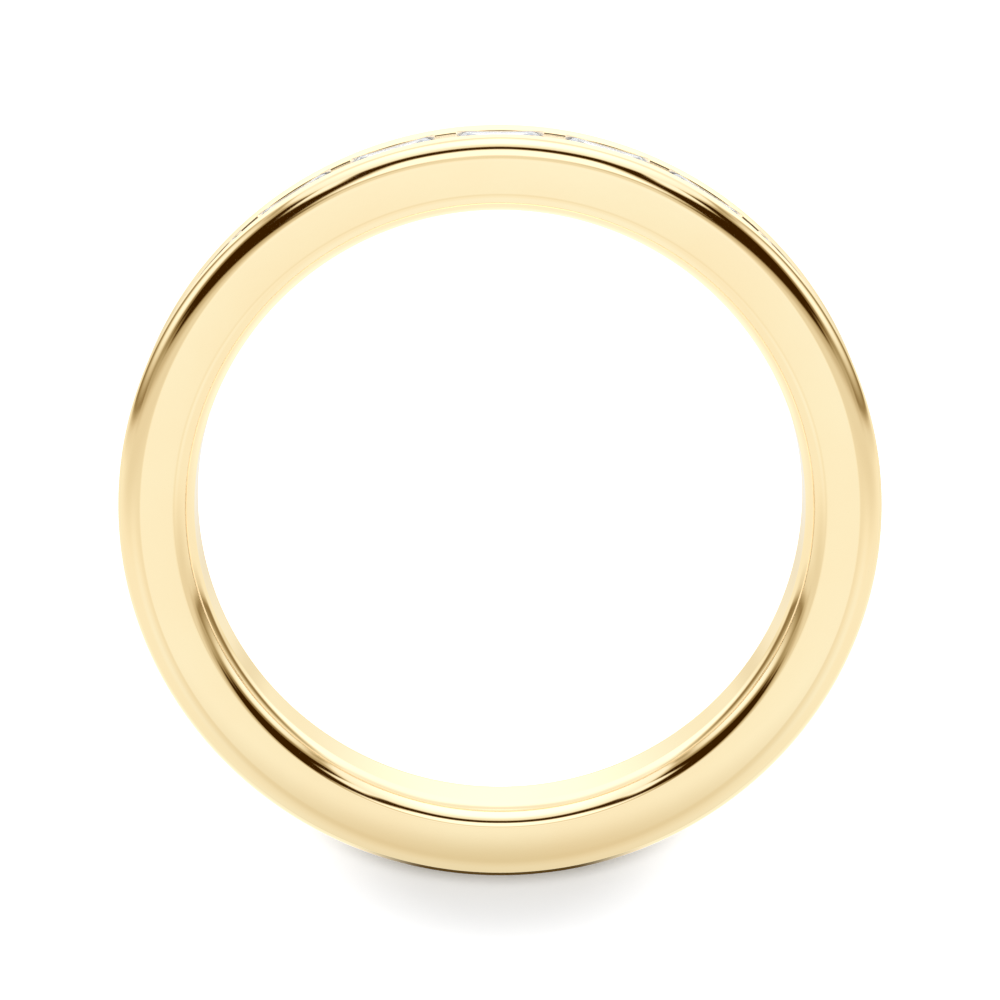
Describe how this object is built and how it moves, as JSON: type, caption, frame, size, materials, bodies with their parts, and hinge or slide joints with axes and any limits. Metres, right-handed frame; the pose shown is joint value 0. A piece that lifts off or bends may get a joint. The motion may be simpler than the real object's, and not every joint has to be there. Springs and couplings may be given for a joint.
{
  "type": "channel set ring band",
  "caption": "Finger ring: a gold band with rounded edges, whose front half holds rectangular step-cut stones end to end in a channel between two rails.",
  "frame": {"origin": "on the ring's axis, in the plane of the side face that it lies on", "axes": "+Z along the ring's axis, up from the face it lies on; the middle stone faces -Y"},
  "size_m": [0.0206, 0.0206, 0.0026],
  "materials": {
    "gold": "yellow gold, polished",
    "diamond": "clear, polished facets"
  },
  "bodies": {
    "root": {"band": "gold", "baguette_01": "diamond", "baguette_02": "diamond", "baguette_03": "diamond", "baguette_04": "diamond", "baguette_05": "diamond", "baguette_06": "diamond", "baguette_07": "diamond", "baguette_08": "diamond", "baguette_09": "diamond", "baguette_10": "diamond", "baguette_11": "diamond"}
  },
  "joints": []
}
